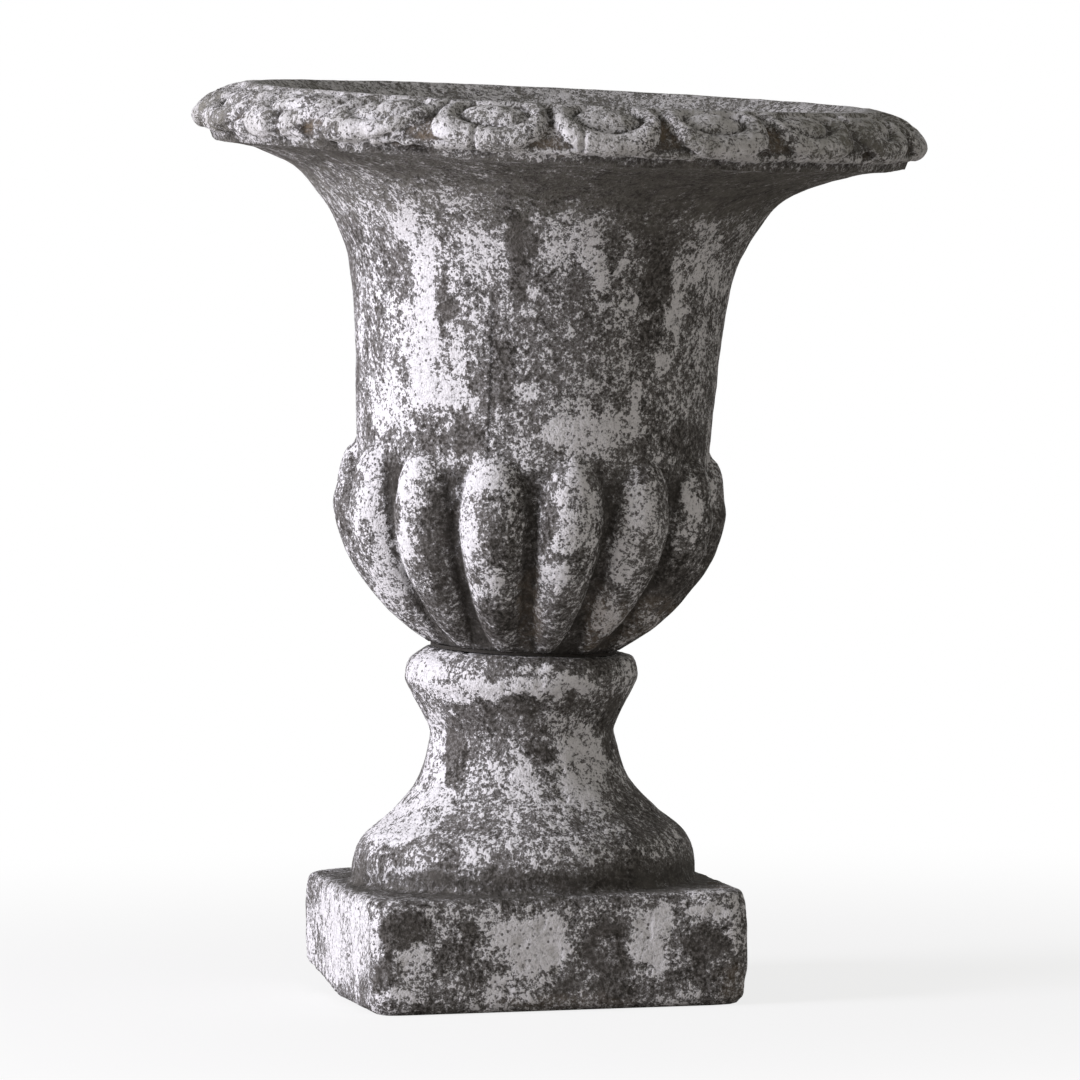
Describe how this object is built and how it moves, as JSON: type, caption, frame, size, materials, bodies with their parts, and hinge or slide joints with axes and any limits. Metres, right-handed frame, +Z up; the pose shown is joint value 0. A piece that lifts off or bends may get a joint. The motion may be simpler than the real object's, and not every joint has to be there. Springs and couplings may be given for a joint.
{
  "type": "urn planter",
  "caption": "Cast-stone garden urn: bell-shaped bowl with carved rim and lobed belly, tied to a waisted foot on a square plinth.",
  "frame": {"origin": "middle of the plinth's flat underside, where the urn stands", "axes": "+Z up along the foot's axis, the plinth's front face towards -Y; the bowl's own axis leans a few degrees from +Z towards +X"},
  "size_m": [0.4616, 0.4623, 0.5762],
  "materials": {
    "bowl_stone": "weathered cast stone under worn limewash",
    "foot_stone": "weathered cast stone under worn limewash",
    "mortar": "dark weathered mortar",
    "galvanised_steel": "dull galvanised"
  },
  "bodies": {
    "root": {"urn_bowl": "bowl_stone", "pedestal_foot": "foot_stone", "bed_joint": "mortar", "tie_rod": "galvanised_steel", "bowl_strap": "galvanised_steel", "bowl_washer": "galvanised_steel", "bowl_nut": "galvanised_steel", "foot_strap": "galvanised_steel", "foot_washer": "galvanised_steel", "foot_nut": "galvanised_steel"}
  },
  "joints": []
}
